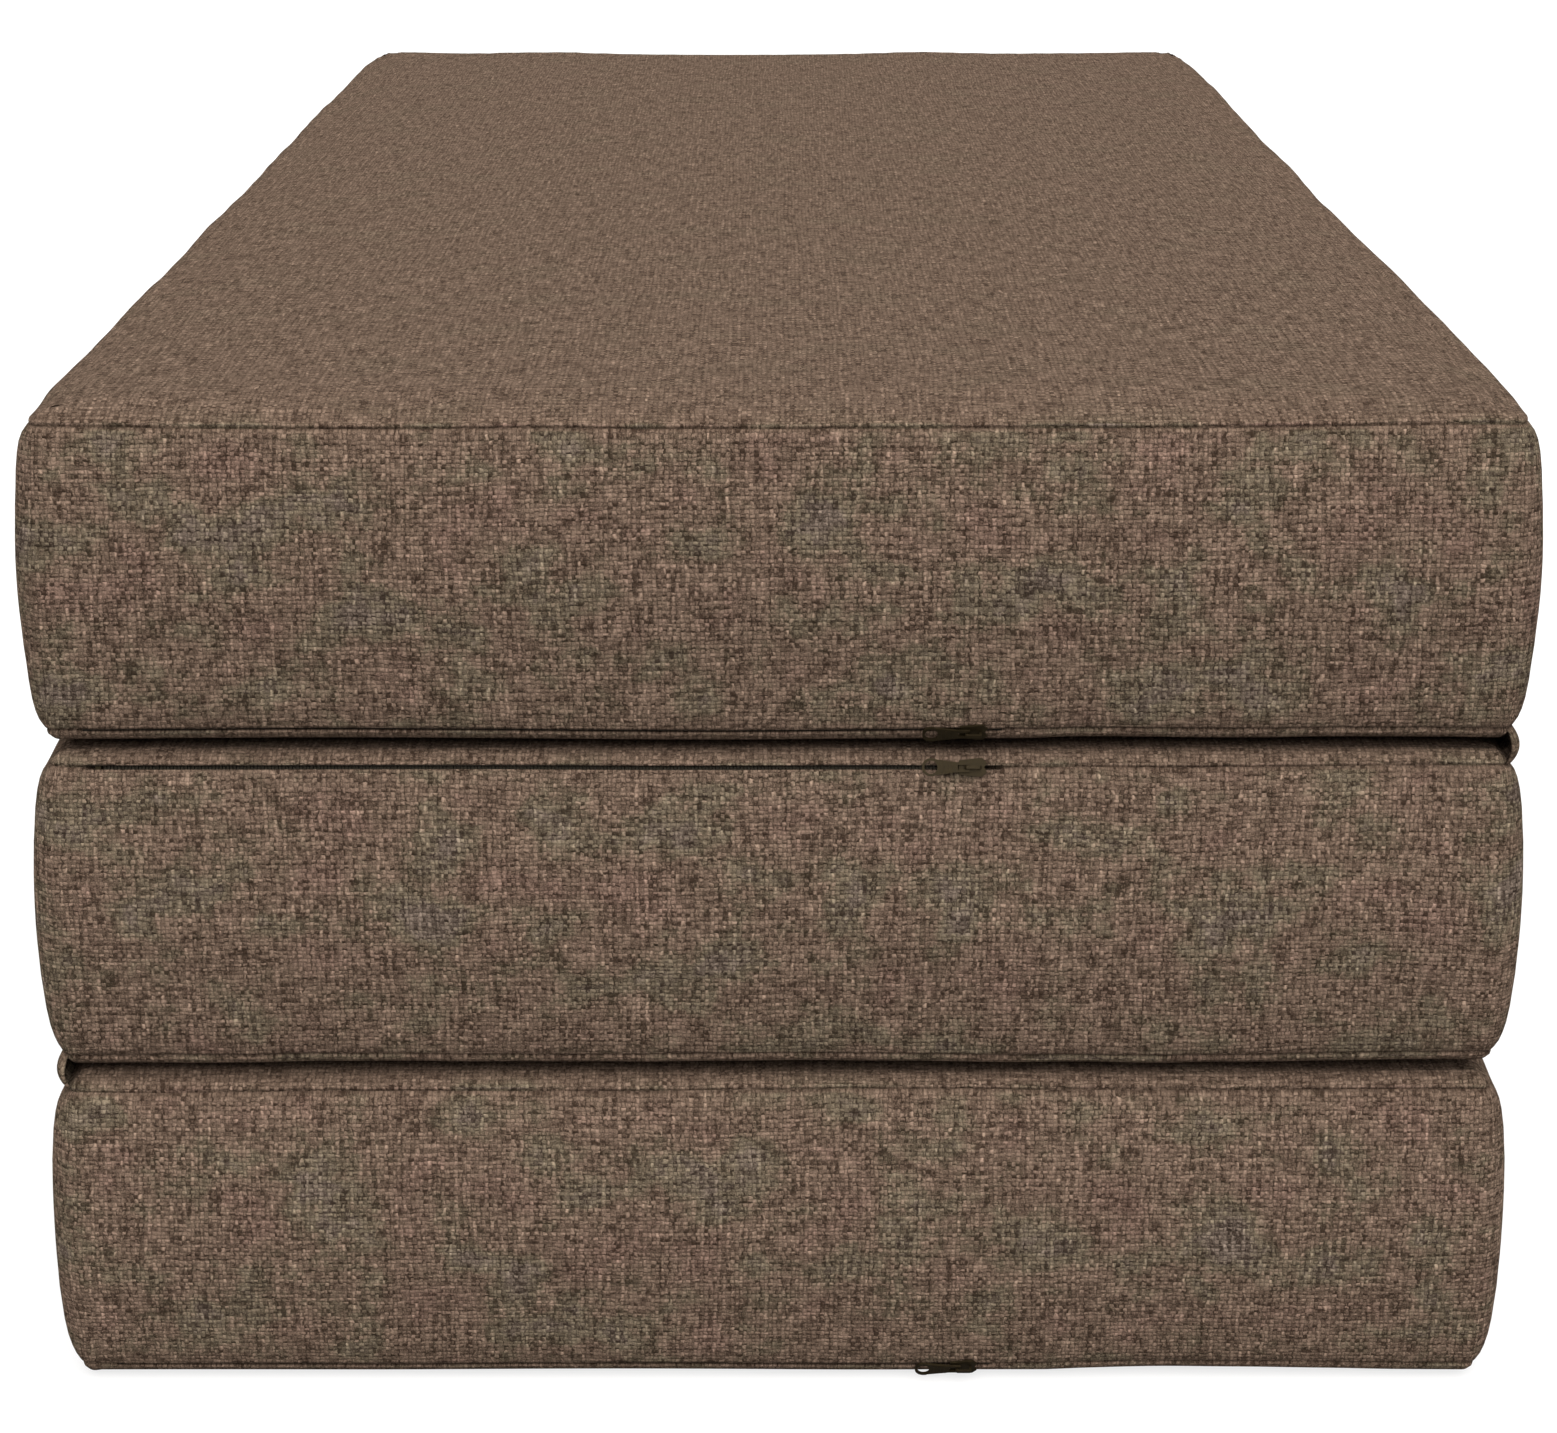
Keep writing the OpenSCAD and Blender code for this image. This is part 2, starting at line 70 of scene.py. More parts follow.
# what the sewn cover looks like; lengths in metres
coverSettings = {
    "seamDrop": 0.008,          # seams lie this far inside the faces
    "crownRise": 0.0032,        # a face rises this much from its edges
    "crownPressed": 0.0012,     # and loses this much where something bears on it
    "cornerRadius": 0.017,
    "sideDraw": 0.0015,         # long sides and back drawn in between the corners
    "slack": 0.0012,            # sides start this much inside, as they swell later

    "creaseHalf": 0.0011,       # half width of a seam's crease
    "creaseDepth": 0.0017,
    "creaseShape": [(1, 0.25), (0.75, 0.45), (0.4, 0.7), (0.15, 0.9)],    # shares of both, going in
    "creaseLip": (2, 0.05),     # where the cloth starts to dip, in the same shares
    "slitHalf": 0.001,          # the zip shows through a slit
    "slitTaper": 0.005,         # which closes over this length at both ends
    "clothThickness": 0.0015,
    "channelReach": (0.0095, 0.0055),     # room behind the slit, towards the face and the band
    "channelDepth": 0.0074,

    "waveHeight": 0.0009,       # soft unevenness of the foam under the cloth
    "waveLength": 0.11,
    "pressedWave": 0.5,         # share of it on a face that something bears on
    "puckerHeight": 0.0008,     # small gathers beside the seams
    "puckerLength": 0.036,
    "puckerReach": 0.016,
    "calmFrom": 0.012,          # this near the zip the cloth is even
    "calmOver": 0.02,           # and its unevenness is back after this much more
    "seamWave": 0.0022,         # how far a seam strays up and down
    "seamWaveLength": 0.17,
    "seamReach": 0.028,
    "zipWave": 0.45,            # share of it where a zip holds the seam
    "sliderCalm": 0.05,         # and it fades out over this length towards the slider

    "cornerEase": 0.0032,       # seams give way this much more sideways at the corners
    "cornerEaseFace": 0.0030,   # and the edge of a face by this much again
    "cornerEaseDown": 0.008,    # how soon that fades down the wall
    "cornerEaseAlong": 0.035,   # and along the long sides

    "rimInset": 0.045,          # where the plain grid of a face starts
    "endSteps": (0, 0.0025, 0.006, 0.011),      # closer lines of the mesh, from the corners
    "seamSteps": (0.0045, 0.008, 0.013),        # and from the seams
    "closest": 0.0008,          # the nearest that two lines come
    "thinOut": 0.4,             # even lines this share of their spacing from a closer one are left out
    "otherPiece": 3,            # band and lower face come from this much further along the cloth
    "fine": {"spacing": 0.0075, "cornerSteps": 6, "rimRows": 5, "arcRows": 7, "creased": True},
    "coarse": {"spacing": 0.024, "cornerSteps": 2, "rimRows": 2, "arcRows": 4, "creased": False},
}

# turned: lies upside down when folded; free: nothing bears on its upper face;
# belly: how much sooner its sides draw in, from their middles to the seams
blockSettings = {
    "bottom": {"turned": False, "free": False, "seed": 3.1, "belly": 0.7},
    "middle": {"turned": True, "free": False, "seed": 17.4, "belly": 1.0},
    "top": {"turned": False, "free": True, "seed": 41.7, "belly": 1.4},
}

# the section of a block's edge: a band that leans in to the seam, then a round edge up to the face
seamHeight = halfHeight - coverSettings["seamDrop"]
lean = math.atan(4 * sideSwell / seamHeight)
edgeRise = coverSettings["seamDrop"] + coverSettings["crownPressed"] - coverSettings["crownRise"]
edgeRadius = edgeRise / (1 - math.sin(lean))
edgeInset = sideSwell + edgeRadius * math.cos(lean)
edgeHeight = seamHeight - edgeRadius * math.sin(lean)
edgeLength = edgeRadius * (math.pi / 2 - lean)
slack = coverSettings["slack"]


def gradedLines(length, spacing, extra=()):
    # places from -length to length, closer together near both ends and at the extra places
    s = coverSettings
    count = round(2 * length / spacing)
    places = np.linspace(-length, length, count + 1)
    fixed = [sign * (length - step) for sign in (-1, 1) for step in s["endSteps"]]
    fixed += extra
    kept = [p for p in places if min(abs(p - f) for f in fixed) > s["thinOut"] * spacing]
    merged = []
    for place in sorted(kept + fixed):
        if not merged or place - merged[-1] > s["closest"]:
            merged.append(place)
    return merged


def outlineColumns(xLines, yLines, steps):
    # columns round a block, starting in the middle of the front left corner and going
    # anticlockwise: shares of the straight halves, outward direction, shares that it is
    # drawn in by, and the place along x on the front
    def arc(sx, sy, start, first, last):
        turns = [start + math.pi / 4 * k / steps for k in range(first, last)]
        return [(sx, sy, math.cos(turn), math.sin(turn), 0, 0, None) for turn in turns]

    def straight(lines, kind):
        made = []
        for place in lines[1:-1]:
            share = place / lines[-1]
            draw = 1 - share * share
            made.append({
                "front": (share, -1, 0, -1, 0, 0, place),
                "right": (1, share, 1, 0, draw, 0, None),
                "back": (-share, 1, 0, 1, 0, draw, None),
                "left": (-1, -share, -1, 0, -draw, 0, None),
            }[kind])
        return made

    quarter = math.pi / 2
    corners = [(-1, -1, 2 * quarter), (1, -1, 3 * quarter), (1, 1, 0), (-1, 1, quarter)]
    sides = [("front", xLines), ("right", yLines), ("back", xLines), ("left", yLines)]
    columns = []
    for number, (kind, lines) in enumerate(sides):
        columns += arc(*corners[number], steps, 2 * steps + 1)
        columns += straight(lines, kind)
        columns += arc(*corners[(number + 1) % 4], 0, steps)
    return columns


def planPoint(column, inset, drawShare):
    # where a column stands in plan, this far inside the outline
    sx, sy, nx, ny, drawX, drawY, _ = column
    radius = coverSettings["cornerRadius"] - inset
    draw = coverSettings["sideDraw"] * drawShare
    return (
        sx * (halfWidth - inset - radius) + nx * radius - drawX * draw,
        sy * (halfDepth - inset - radius) + ny * radius - drawY * draw,
    )


def seamPoint(along, depth, side):
    # inset and height of a point near a seam: along is negative towards the face
    if along < 0:
        turn = lean - along / edgeRadius
        radius = edgeRadius - depth
        return edgeInset - radius * math.cos(turn), side * (edgeHeight + radius * math.sin(turn))
    height = seamHeight - along * math.cos(lean)
    up = height / seamHeight
    slope = math.atan(4 * sideSwell * up ** 3 / seamHeight)
    return sideSwell * up ** 4 + depth * math.cos(slope), side * (height - depth * math.sin(slope))


def faceHeight(x, y, top):
    # a face that is level in its middle and falls towards its edges, pressed flat at the top
    u = min(abs(x) / (halfWidth - edgeInset), 1)
    v = min(abs(y) / (halfDepth - edgeInset), 1)
    drop = coverSettings["crownRise"] * (1 - (1 - u ** 4) * (1 - v ** 4))
    return min(halfHeight + coverSettings["crownPressed"] - drop, top)


def easeShare(nx, y):
    # share of the corners' give, outwards in x: all of it at the ends of the long sides
    before = max(halfDepth - coverSettings["cornerRadius"] - abs(y), 0)
    return nx * abs(nx) * math.exp(-(before / coverSettings["cornerEaseAlong"]) ** 2)


def openShare(place):
    # how far the zip's slit is open at a place along the front
    if place is None:
        return 0
    fromEnd = min(place - tapeLow.x, tapeHigh.x - place)
    return min(max(fromEnd / coverSettings["slitTaper"], 0), 1)


def calmShare(place, fromSeam):
    # no unevenness close to the zip, which is stiff
    if place is None:
        return 1
    beyond = max(tapeLow.x - place, place - tapeHigh.x, 0)
    fromZip = math.hypot(beyond, fromSeam)
    away = min(max((fromZip - coverSettings["calmFrom"]) / coverSettings["calmOver"], 0), 1)
    return away * away * (3 - 2 * away)


def seamRows(creased):
    # rows of the upper and the lower seam as pairs of (along, depth): the crease, and what
    # takes its place where the zip is, which is only used on the lower seam
    if not creased:
        return [((0, 0), (0, 0))], [((0, 0), (0, 0))]
    s = coverSettings
    half, depth = s["creaseHalf"], s["creaseDepth"]
    slope = [(a * half, d * depth) for a, d in s["creaseShape"]]
    fold = [(-a, d) for a, d in slope] + [(0, depth)] + slope[::-1]
    lip, dip = s["creaseLip"][0] * half, s["creaseLip"][1] * depth
    upperSeam = [(p, p) for p in [(-lip, dip)] + fold + [(lip, dip)]]
    slit, cloth, room = s["slitHalf"], s["clothThickness"], s["channelDepth"]
    towardsFace, towardsBand = s["channelReach"]
    gap = [(slit, 0), (slit, cloth), (towardsBand, cloth), (towardsBand, room), (0, room),
           (-towardsFace, room), (-towardsFace, cloth), (-slit, cloth), (-slit, 0)]
    lowerSeam = [((lip, dip), (lip, dip))] + list(zip(fold[::-1], gap)) + [((-lip, dip), (-lip, dip))]
    return upperSeam, lowerSeam


def coverRows(detail):
    # rows from the upper face down to the lower one: kind, value, side, value where the zip is
    upperSeam, lowerSeam = seamRows(detail["creased"])
    if detail["creased"]:
        steps = [seamHeight - step for step in coverSettings["seamSteps"]]
        lastTurn = lean + coverSettings["seamSteps"][0] / edgeRadius
        turns = np.linspace(math.pi / 2, lastTurn, detail["arcRows"])[1:]
    else:
        steps = []
        turns = np.linspace(math.pi / 2, lean, detail["arcRows"])[1:-1]
    top = steps[-1] if steps else seamHeight
    count = round(2 * top / detail["spacing"])
    middle = list(np.linspace(top, -top, count + 1))[1:-1]
    edge = [("rim", k / detail["rimRows"]) for k in range(detail["rimRows"] + 1)]
    edge += [("arc", float(turn)) for turn in turns]
    rows = [(kind, value, 1, value) for kind, value in edge]
    rows += [("seam", value, 1, wide) for value, wide in upperSeam]
    rows += [("wall", z, 0, z) for z in steps + middle + [-z for z in reversed(steps)]]
    rows += [("seam", value, -1, wide) for value, wide in lowerSeam]
    rows += [(kind, value, -1, value) for kind, value in reversed(edge)]
    return rows


def softNoise(x, y, z, seed):
    # each seed reads another part of the same noise
    return noise.noise(Vector((x + seed, y - 2 * seed, z + 0.7 * seed)))


def wavesAt(x, y, z, side, fromSeam, seed):
    # how far soft waves, and the gathers beside a seam, push the cloth out
    s = coverSettings
    long, short = s["waveLength"], s["puckerLength"]
    wave = s["waveHeight"] * softNoise(x / long, y / long, z / long, seed)
    pucker = s["puckerHeight"] * softNoise(x / short, y / short, 0.2 * side, seed + 9)
    return wave + pucker * math.exp(-fromSeam / s["puckerReach"]) - s["waveHeight"] / 3


def highest(side, block):
    # the most that a block reaches above its middle
    return crownTop if side > 0 and block["free"] else halfHeight


def facePoint(x, y, side, block):
    # a point of a wide face, side 1 for the upper one and -1 for the lower one
    top = highest(side, block)
    bare = top > halfHeight
    z = side * faceHeight(x, y, top)
    if bare:
        z -= slack * (1 - (x / halfWidth) ** 4) * (1 - (y / halfDepth) ** 4)
    wave = wavesAt(x, y, z, side, seamHeight, block["seed"])
    z += side * wave * (1 if bare else coverSettings["pressedWave"])
    return x, y, min(max(z, -halfHeight), top)


def coverPoint(row, column, inner, block):
    # one point of the cover, and its two places in the flat cloth (face piece, band piece)
    s = coverSettings
    kind, value, side, wide = row
    _, _, nx, ny, _, _, place = column
    edgeX, edgeY = planPoint(column, edgeInset, 1)
    if kind == "rim":
        easedX = edgeX - (s["cornerEase"] + s["cornerEaseFace"]) * easeShare(nx, edgeY)
        x = inner[0] + (easedX - inner[0]) * value
        y = inner[1] + (edgeY - inner[1]) * value
        return facePoint(x, y, side, block), (x, y), 0

    travel, drawShare = 0, 1
    if kind == "arc":
        inset = edgeInset - edgeRadius * math.cos(value)
        z = side * (edgeHeight + edgeRadius * math.sin(value))
        travel = edgeRadius * (math.pi / 2 - value)
        fromSeam = edgeRadius * (value - lean)
        easing = s["cornerEase"] + s["cornerEaseFace"] * fromSeam / edgeLength
    elif kind == "seam":
        share = openShare(place) if side < 0 else 0
        along, depth = [a + (b - a) * share for a, b in zip(value, wide)]
        inset, z = seamPoint(along, depth, side)
        travel = edgeLength + along
        fromSeam = abs(along)
        easing = s["cornerEase"]
    else:
        up = abs(value) / seamHeight
        inset = sideSwell * (up ** 4 + block["belly"] * up ** 2 * (1 - up ** 2) ** 2)
        inset += slack * (1 - up ** 2)
        z, drawShare = value, up
        fromSeam = seamHeight - abs(value)
        easing = s["cornerEase"] * math.exp(-fromSeam / s["cornerEaseDown"])
    x, y = planPoint(column, inset, drawShare)
    x -= easing * easeShare(nx, y)
    flat, height = (edgeX + nx * travel, edgeY + ny * travel), z

    calm = calmShare(place, fromSeam) if z < 0 else 1
    wave = calm * wavesAt(x, y, z, side, fromSeam, block["seed"])
    stray = s["seamWave"]
    if place is not None and z < 0:
        stray *= s["zipWave"] + (1 - s["zipWave"]) * calm
        stray *= min(abs(place - sliderAt) / s["sliderCalm"], 1)
    long, ownPart = s["seamWaveLength"], 3 if z > 0 else 9       # each seam strays in its own way
    stray *= softNoise(x / long, y / long, ownPart, block["seed"])
    z += stray * math.exp(-(fromSeam / s["seamReach"]) ** 2)

    rise = value if kind == "arc" else 0
    x += nx * wave * math.cos(rise)
    y += ny * wave * math.cos(rise)
    z += side * wave * math.sin(rise)
    return (x, y, min(max(z, -halfHeight), highest(side, block))), flat, height


def sideLines(lines, steps):
    # the places of a side's columns, with half a corner at both ends
    ends = [coverSettings["cornerRadius"] * math.pi / 4 * k / steps for k in range(steps, 0, -1)]
    return [lines[0] - e for e in ends] + list(lines) + [lines[-1] + e for e in reversed(ends)]


def newPiece(label, points, faces, places):
    # a smooth mesh; places says where the corners of its faces lie in the flat cloth
    mesh = bpy.data.meshes.new(label)
    mesh.from_pydata(points, [], faces)
    weave = mesh.uv_layers.new(name="weave")
    weave.data.foreach_set("uv", np.array(places, dtype=float).ravel())
    mesh.polygons.foreach_set("use_smooth", [True] * len(faces))
    mesh.update()
    piece = bpy.data.objects.new(label, mesh)
    bpy.context.scene.collection.objects.link(piece)
    return piece


def coverMesh(name, label, detail):
    # a block's whole cover as one closed mesh, with the zip low on its front; a turned block
    # is made that way up too, and then mirrored
    s, block = coverSettings, blockSettings[name]
    seed, level = block["seed"], blockLevels[name]
    turn = -1 if block["turned"] else 1
    tapers = [k * s["slitTaper"] / 4 for k in range(5)]
    zipEnds = [tapeLow.x + taper for taper in tapers] + [tapeHigh.x - taper for taper in tapers]
    extra = zipEnds if detail["creased"] else []
    xLines = gradedLines(halfWidth - s["cornerRadius"], detail["spacing"], extra)
    yLines = gradedLines(halfDepth - s["cornerRadius"], detail["spacing"])
    columns = outlineColumns(xLines, yLines, detail["cornerSteps"])
    rows = coverRows(detail)
    gridX, gridY = [sideLines(lines, detail["cornerSteps"]) for lines in (xLines, yLines)]
    gridX = [place * (halfWidth - s["rimInset"]) / gridX[-1] for place in gridX]
    gridY = [place * (halfDepth - s["rimInset"]) / gridY[-1] for place in gridY]
    lastX, lastY = len(gridX) - 1, len(gridY) - 1
    border = [(i, 0) for i in range(lastX)] + [(lastX, j) for j in range(lastY)]
    border += [(i, lastY) for i in range(lastX, 0, -1)] + [(0, j) for j in range(lastY, 0, -1)]
    points, held = [], []

    def addPoint(point, loose):
        x, y, z = point
        points.append((x, y, level + turn * z))
        held.append(not loose)
        return len(points) - 1

    grids = []
    for side in (1, -1):
        grid = {}
        for i, x in enumerate(gridX):
            for j, y in enumerate(gridY):
                grid[i, j] = addPoint(facePoint(x, y, side, block), side > 0 and block["free"])
        grids.append(grid)

    rings, flats, heights = [], [], []
    for number, row in enumerate(rows):
        kind, _, side, _ = row
        loose = kind == "wall" or (block["free"] and side > 0 and kind != "seam")
        made = [
            coverPoint(row, column, (gridX[i], gridY[j]), block)
            for column, (i, j) in zip(columns, border)
        ]
        if number in (0, len(rows) - 1):
            grid = grids[0 if number == 0 else 1]
            rings.append([grid[spot] for spot in border])
        else:
            rings.append([addPoint(point, loose) for point, _, _ in made])
        flats.append([flat for _, flat, _ in made])
        heights.append([height for _, _, height in made])

    waist = [points[index] for index in rings[len(rows) // 2]]
    around = [0]
    for (ax, ay, _), (bx, by, _) in zip(waist, waist[1:] + waist[:1]):
        around.append(around[-1] + math.hypot(bx - ax, by - ay))
    behind = lastX + lastY + lastX // 2     # the column in the middle of the back
    seams = [n for n, row in enumerate(rows) if row[0] == "seam" and row[1][0] == 0]
    faces, places = [], []
    for n in range(len(rows) - 1):
        onFace = n < seams[0] or n >= seams[-1]
        further = 0 if n < seams[0] else s["otherPiece"]
        for c in range(len(columns)):
            after = (c + 1) % len(columns)
            spots = [(n, c), (n + 1, c), (n + 1, after), (n, after)]
            faces.append(tuple(rings[r][k] for r, k in spots))
            if onFace:
                corners = [flats[r][k] for r, k in spots]
            else:
                shift = around[-1] if c >= behind else 0
                left, right = around[c] - shift, around[c + 1] - shift
                corners = [(u, heights[r][k]) for u, (r, k) in zip((left, left, right, right), spots)]
            places.append([(u + seed, v + further) for u, v in corners])
    for side, grid in zip((1, -1), grids):
        further = 0 if side > 0 else s["otherPiece"]
        for i in range(lastX):
            for j in range(lastY):
                square = [(i, j), (i + 1, j), (i + 1, j + 1), (i, j + 1)][::side]
                faces.append(tuple(grid[spot] for spot in square))
                places.append([(gridX[a] + seed, gridY[b] + further) for a, b in square])
    if turn < 0:
        faces = [face[::-1] for face in faces]
        places = [place[::-1] for place in places]
    return newPiece(label, points, faces, places), held


# the filled covers swell a little in a cloth simulation
swellSettings = {
    "frames": 20,
    "pressure": 4,
    "stiffness": 30,
    "quality": 5,
    "limit": 0.0018,            # the most that a point moves
    "neighbours": 6,            # coarse points that a fine one follows
    "softening": 0.002,         # added to their distances, so that none counts for all
    "freeRise": 0.012,          # how far above its level a free face may swell
}


def swell(coarse, held):
    # pressure pushes the cloth out between the seams; gives each point's place and its move
    s = swellSettings
    group = coarse.vertex_groups.new(name="held")
    group.add([n for n, value in enumerate(held) if value], 1, "REPLACE")
    cloth = coarse.modifiers.new("swell", "CLOTH")
    cloth.settings.use_pressure = True
    cloth.settings.uniform_pressure_force = s["pressure"]
    cloth.settings.effector_weights.gravity = 0
    cloth.settings.vertex_group_mass = "held"
    cloth.settings.tension_stiffness = s["stiffness"]
    cloth.settings.compression_stiffness = s["stiffness"]
    cloth.settings.quality = s["quality"]
    cloth.collision_settings.use_collision = False
    scene = bpy.context.scene
    for step in range(1, s["frames"] + 1):
        scene.frame_set(step)
    after = coarse.evaluated_get(bpy.context.evaluated_depsgraph_get()).to_mesh()
    rest = np.array([v.co for v in coarse.data.vertices])
    moved = np.array([v.co for v in after.vertices])
    move = np.nan_to_num(moved - rest)
    size = np.linalg.norm(move, axis=1, keepdims=True)
    move *= np.minimum(1, s["limit"] / np.maximum(size, 1e-9))
    scene.frame_set(1)
    bpy.data.objects.remove(coarse)
    return rest, move


def carryOver(piece, held, rest, move, low, high):
    # takes the moves of the coarse cover over to the fine one
    tree = kdtree.KDTree(len(rest))
    for n, point in enumerate(rest):
        tree.insert(point, n)
    tree.balance()
    for n, vertex in enumerate(piece.data.vertices):
        if held[n]:
            continue
        near = tree.find_n(vertex.co, swellSettings["neighbours"])
        weights = np.array([1 / (distance + swellSettings["softening"]) ** 2 for _, _, distance in near])
        shift = (move[[index for _, index, _ in near]] * weights[:, None]).sum(axis=0) / weights.sum()
        vertex.co += Vector(shift)
        vertex.co.z = min(max(vertex.co.z, low), high)
    for vertex in piece.data.vertices:      # unfolded blocks lie side by side
        vertex.co.x = min(max(vertex.co.x, -halfWidth), halfWidth)
    piece.data.update()


cushions = {}
for name, block in blockSettings.items():
    cushion, held = coverMesh(name, name + "Cushion", coverSettings["fine"])
    coarse, coarseHeld = coverMesh(name, name + "Coarse", coverSettings["coarse"])
    rest, move = swell(coarse, coarseHeld)
    reach = halfHeight + (swellSettings["freeRise"] if block["free"] else 0)
    carryOver(cushion, held, rest, move, blockLevels[name] - halfHeight, blockLevels[name] + reach)
    mostMove = float(np.linalg.norm(move, axis=1).max())
    print(name, "cover swelled, most move", round(mostMove * 1000, 2), "mm")
    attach(cushion, name + "_block")
    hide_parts(*(name + part for part in
                           ("_foam_core", "_lower_panel", "_upper_panel", "_side_band")))
    cushions[name] = cushion
    print(name, "cushion made with", len(cushion.data.vertices), "points")


# strips of cover cloth that the blocks fold on
hingeSettings = {
    "tuck": 0.0022,             # both long edges go this far into the seams
    "tuckEase": 0.45,           # below 1, the strip comes out of them steeply
    "bulge": 0.0021,            # and the middle stands this far out, close to the fold's axis
    "rows": 13,
    "spacing": 0.005,
    "thickness": 0.0013,
    "cornerTurn": 62,           # degrees that the strip follows the corners for
    "cornerSteps": 10,
    "ripple": 0.0004,
    "rippleLength": 0.035,
    "bendReach": 0.3,           # share of its height, up and down
}
hinges = {
    "left": {"node": "left_hinge_cloth", "bodies": ("bottom_block", "middle_block"), "seed": 60.5},
    "right": {"node": "right_hinge_cloth", "bodies": ("middle_block", "top_block"), "seed": 75.5},
}


def hingePath(outer, outward):
    # the strip's plan, straight along the side and round both corners: x, y and the outward
    # direction; then how far along the strip each of its points is
    s = hingeSettings
    radius = coverSettings["cornerRadius"] - (halfWidth - abs(outer))
    turn = math.radians(s["cornerTurn"])
    straight = halfDepth - coverSettings["cornerRadius"]
    steps = round(2 * straight / s["spacing"])
    path = []
    for k in range(s["cornerSteps"]):
        angle = turn * (1 - k / s["cornerSteps"])
        x = outer - outward * radius * (1 - math.cos(angle))
        path.append((x, -straight - radius * math.sin(angle), outward * math.cos(angle), -math.sin(angle)))
    path += [(outer, -straight + 2 * straight * k / steps, outward, 0) for k in range(steps + 1)]
    path += [(x, -y, nx, -ny) for x, y, nx, ny in reversed(path[:s["cornerSteps"]])]
    ease = coverSettings["cornerEase"]
    path = [(x - ease * easeShare(nx, y), y, nx, ny) for x, y, nx, ny in path]
    lengths = [0]
    for (ax, ay, _, _), (bx, by, _, _) in zip(path, path[1:]):
        lengths.append(lengths[-1] + math.hypot(bx - ax, by - ay))
    return path, lengths


def hingeCloth(name):
    # a thin closed strip that stands between two seams, its long edges tucked in
    s, hinge = hingeSettings, hinges[name]
    low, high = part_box(hinge["node"])
    outward = 1 if low.x > 0 else -1
    outer = high.x if outward > 0 else low.x
    path, lengths = hingePath(outer, outward)
    points, spots = [], []
    for skin in (0, 1):
        for r in range(s["rows"]):
            up = r / (s["rows"] - 1)
            height = low.z + (high.z - low.z) * up
            full = math.sin(math.pi * up) ** s["tuckEase"]
            inside = s["tuck"] * (1 - full) - s["bulge"] * math.sin(math.pi * up) + skin * s["thickness"]
            for (x, y, nx, ny), far in zip(path, lengths):
                ripple = 0.5 + softNoise(0, y / s["rippleLength"], up, hinge["seed"])
                depth = inside + s["ripple"] * full * ripple
                points.append((x - nx * depth, y - ny * depth, height))
                spots.append((far + hinge["seed"], height))

    wide, last = len(path), len(path) - 1
    layer = wide * s["rows"]
    faces = []
    for r in range(s["rows"] - 1):
        for c in range(last):
            a = r * wide + c
            square = (a, a + 1, a + 1 + wide, a + wide)
            faces += [square, tuple(layer + p for p in square[::-1])]
    for c in range(last):
        for r in (0, s["rows"] - 1):
            a = r * wide + c
            edge = (a, layer + a, layer + a + 1, a + 1)
            faces.append(edge if r == 0 else edge[::-1])
    for r in range(s["rows"] - 1):
        for c in (0, last):
            a = r * wide + c
            edge = (a, a + wide, layer + a + wide, layer + a)
            faces.append(edge if c == 0 else edge[::-1])
    if outward < 0:
        faces = [face[::-1] for face in faces]
    piece = newPiece(name + "HingeCloth", points, faces, [[spots[v] for v in face] for face in faces])

    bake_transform(piece)
    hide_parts(hinge["node"])
    return piece


hingeCloths = [hingeCloth(name) for name in hinges]
print("hinge cloths made")


